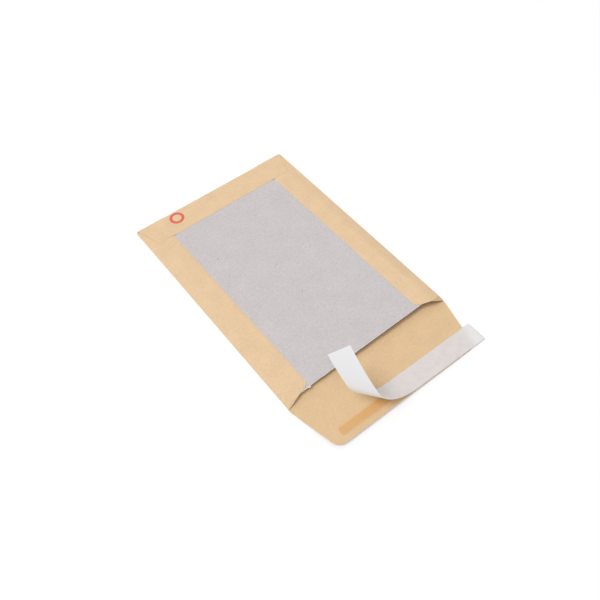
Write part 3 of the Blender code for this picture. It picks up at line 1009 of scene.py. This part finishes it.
board_colour = paint(207, 201, 201)
board_face = grey_board_finish("board_face", board_colour, 0.24, 0.16, BOARD_MOUTH, MOUTH_CUT_SLOPE)
board_sheet = blank([
    (-BOARD_HALF, BOARD_MOUTH, 0), (BOARD_HALF, BOARD_MOUTH, 0),
    (BOARD_HALF, BOARD_BACK, 0), (-BOARD_HALF, BOARD_BACK, 0),
])
cut_teeth(board_sheet, random.Random(5))
score_grid(board_sheet, BOARD_CELL)
board = fold_sheet("board", board_sheet, place_board, BOARD_THICKNESS, [board_face, board_face, board_edge])
rounding = board.modifiers.new("worn edge", "BEVEL")
rounding.width = BOARD_ROUNDING
rounding.segments = 2
rounding.limit_method = "ANGLE"
rounding.angle_limit = math.radians(50)
apply_modifiers(board)
mark_height(board)
stands_for(board, "back_board")

# %% [markdown]
# ## The adhesive strip
# The strip runs along the closing flap, with round ends. Its rim isn't cut but laid, so it wanders a
# little: the outline's points are moved by a seeded chance.

# %% Lay the adhesive
ADHESIVE_WIDTH = 0.008
ADHESIVE_FROM_EDGE = 0.005
ADHESIVE_END_INSET = 0.0182
ADHESIVE_END_RADIUS = 0.0035
ADHESIVE_THICKNESS = 0.0001
FILM_GAP = 0.0001
ADHESIVE_WANDER = 0.00018
ADHESIVE_CELL = 0.0015

adhesive_y = FLAP_FRONT + ADHESIVE_FROM_EDGE + ADHESIVE_WIDTH / 2
adhesive_half = HALF_WIDTH - ADHESIVE_END_INSET


def place_adhesive(x, y):
    """The flat strip is drawn round the origin, and lies on the sprung flap."""
    y += adhesive_y
    return Vector((x, y, PAPER + FILM_GAP + ADHESIVE_THICKNESS / 2 + flap_spring(x, y)))


adhesive_sheet = blank([
    (side_x * adhesive_half, side_y * ADHESIVE_WIDTH / 2, ADHESIVE_END_RADIUS)
    for side_x, side_y in ((-1, -1), (1, -1), (1, 1), (-1, 1))
])
score_grid(adhesive_sheet, ADHESIVE_CELL)
wander = random.Random(11)
for vert in adhesive_sheet.verts:
    if vert.is_boundary:
        vert.co.y *= 1 - wander.uniform(0, 2 * ADHESIVE_WANDER) / ADHESIVE_WIDTH
adhesive_film = adhesive_finish(adhesive_half, ADHESIVE_WIDTH / 2)
adhesive = fold_sheet("adhesive", adhesive_sheet, place_adhesive, ADHESIVE_THICKNESS, [adhesive_film] * 3)
apply_modifiers(adhesive)
stands_for(adhesive, "adhesive_strip")

# %% [markdown]
# ## The release liner
# The liner is wider than the adhesive. It ends a hair behind the flap's front edge, and hangs over its
# slanting right end. It is still stuck on the right. On the left it has been pulled up and back, so it
# leaves the flap along a slanting line and curls over. The curl is three arcs, one after another, round
# axes that all run along that slanting line. Here the liner is half a millimetre narrower and 0.9 mm
# longer than in the packed model, where it hangs over the front edge too.

# %% Peel the liner
LINER_WIDTH = 0.0186
LINER_LENGTH = 0.1614
LINER_THICKNESS = 0.00008
LINER_FROM_EDGE = 0.0003
LINER_END_FROM_SIDE = 0.0009
CURL_START = 0.0030
CURL_SKEW = math.radians(36.5)
CURL_ARCS = ((0.0284, 0.0282), (0.0129, 0.0113), (0.0861, 0.0600))
LINER_CELL = 0.0016

liner_right = HALF_WIDTH - LINER_END_FROM_SIDE
liner_left = liner_right - LINER_LENGTH
liner_front = FLAP_FRONT + LINER_FROM_EDGE
liner_back = liner_front + LINER_WIDTH
liner_level = PAPER + 2 * FILM_GAP + ADHESIVE_THICKNESS + LINER_THICKNESS / 2
curl_foot = Vector((CURL_START, (liner_front + liner_back) / 2))
curl_axis = Vector((-math.sin(CURL_SKEW), math.cos(CURL_SKEW)))
curl_way = Vector((-math.cos(CURL_SKEW), -math.sin(CURL_SKEW)))


def curl_profile(distance):
    """Offset and height of the liner at a distance along its curl."""
    offset, height, angle = 0.0, 0.0, 0.0
    left = distance
    for radius, length in CURL_ARCS:
        turn = min(left, length) / radius
        offset += radius * (math.sin(angle + turn) - math.sin(angle))
        height += radius * (math.cos(angle) - math.cos(angle + turn))
        angle += turn
        left -= length
        if left <= 0:
            break
    return offset, height


def place_liner(x, y):
    """Flat over the adhesive, and curled where it is peeled."""
    arm = Vector((x, y)) - curl_foot
    distance = arm.dot(curl_way)
    if distance <= 0:
        return Vector((x, y, liner_level + flap_spring(x, y)))
    foot = curl_foot + curl_axis * arm.dot(curl_axis)
    offset, height = curl_profile(distance)
    across = foot + curl_way * offset
    return Vector((across.x, across.y, liner_level + flap_spring(foot.x, foot.y) + height))


liner_sheet = blank([
    (liner_left, liner_front, 0), (liner_right, liner_front, 0),
    (liner_right, liner_back, 0), (liner_left, liner_back, 0),
])
score_grid(liner_sheet, LINER_CELL)
flap_end = ((HALF_WIDTH - CLOSING_TAPER_RIGHT, FLAP_FRONT), math.atan(-CLOSING_TAPER_RIGHT / CLOSING_FLAP))
liner_top = liner_finish("liner_top", (curl_foot, CURL_SKEW), flap_end, (liner_right, liner_front))
liner_under = liner_finish("liner_back")
liner_finishes = [liner_top, liner_under, liner_under]
liner = fold_sheet("liner", liner_sheet, place_liner, LINER_THICKNESS, liner_finishes)
apply_modifiers(liner)
stands_for(liner, "release_liner")

# %% [markdown]
# ## The seam gum
# Dried gum holds the flaps on the board. It is hidden between them, so the packed films stay as they are.
# They still get their own finish: pale, slightly glassy, with a rolled-on grain. These meshes have no
# "flat" map, so the pattern reads Object coordinates.

# %% Finish the gum


def gum_finish():
    """Dried gum, streaky along the roller's way."""
    finish = Finish("seam_gum", 0.5)
    at = finish.node("ShaderNodeTexCoord", None, None, output=3)
    streaks = finish.noise(finish.turned(at, stretch=(1.0, 0.12, 1.0)), size=0.0015) - 0.5
    bubbles = specks(finish, at, spacing=0.002, size=0.0005, share=0.3)
    colour = finish.shade(paint(226, 205, 165), 1 + 0.12 * streaks - 0.1 * bubbles)
    return finish.wear(Base_Color=colour, Normal=finish.bump(streaks, depth=0.00003))


gum = gum_finish()
for node in ("left_seam_gum", "right_seam_gum", "bottom_seam_gum"):
    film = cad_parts[node]
    for slot in film.material_slots:
        slot.material = gum
    print(node, "has", len(film.material_slots), "material slot")

# %% [markdown]
# ## The end
# The dressed envelope is meant to keep the packed model's size; each piece printed its corner offsets where
# it was made. Here the scene is brought up to date.

# %% Bring the scene up to date
bpy.context.view_layer.update()
